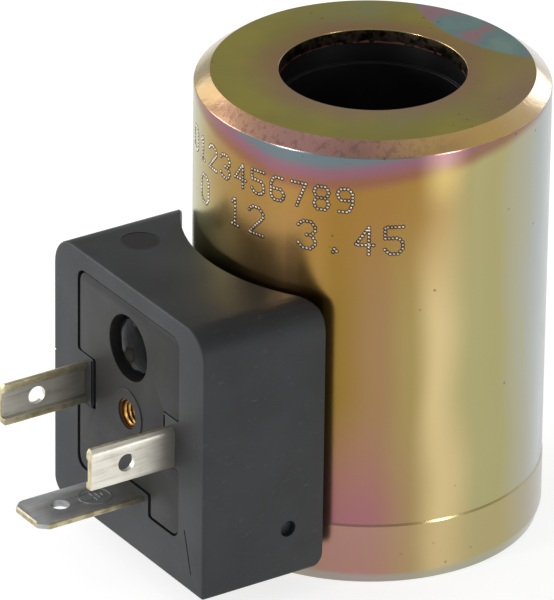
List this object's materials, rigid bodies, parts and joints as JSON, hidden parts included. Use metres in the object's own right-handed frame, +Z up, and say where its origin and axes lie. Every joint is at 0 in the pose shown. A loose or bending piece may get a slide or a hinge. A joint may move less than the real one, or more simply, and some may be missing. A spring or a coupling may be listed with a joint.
{
  "type": "solenoid coil for a cartridge valve",
  "caption": "Solenoid coil in a round plated steel can with a through bore, and a moulded side block with plug blades.",
  "frame": {"origin": "on the bore axis at the coil's bottom face", "axes": "+Z up along the bore axis to the bevelled closed end of the can, -Y out through the plug blades, +X to the right seen from the blades"},
  "size_m": [0.0392, 0.0639, 0.053],
  "materials": {
    "plated_can": "yellow iridescent zinc plate, satin",
    "plated_ring": "yellow iridescent zinc plate, satin",
    "bobbin_plastic": "smooth moulded",
    "copper_wire": "enamelled copper, glossy",
    "tape": "polyester film tape",
    "block_plastic": "fine-textured moulding",
    "carrier_plastic": "fine-textured moulding",
    "plug_resin": "glossy",
    "brass": "machined",
    "tinned_brass": "tin plated with bare brass edges",
    "spring_brass": "bare strip",
    "rivet_steel": "zinc plated",
    "sleeving": "woven glass sleeve",
    "solder": "smooth"
  },
  "bodies": {
    "root": {"coil_can": "plated_can", "pole_ring": "plated_ring", "bobbin": "bobbin_plastic", "winding": "copper_wire", "winding_tape": "tape", "overmould": "block_plastic", "terminal_carrier": "carrier_plastic", "recess_plug": "plug_resin", "thread_insert": "brass", "terminal_blade_1": "tinned_brass", "terminal_blade_2": "tinned_brass", "earth_blade": "tinned_brass", "earth_strap": "spring_brass", "earth_rivet": "rivet_steel", "lead_start": "copper_wire", "lead_finish": "copper_wire", "sleeve_start": "sleeving", "sleeve_finish": "sleeving", "solder_start": "solder", "solder_finish": "solder"}
  },
  "joints": []
}
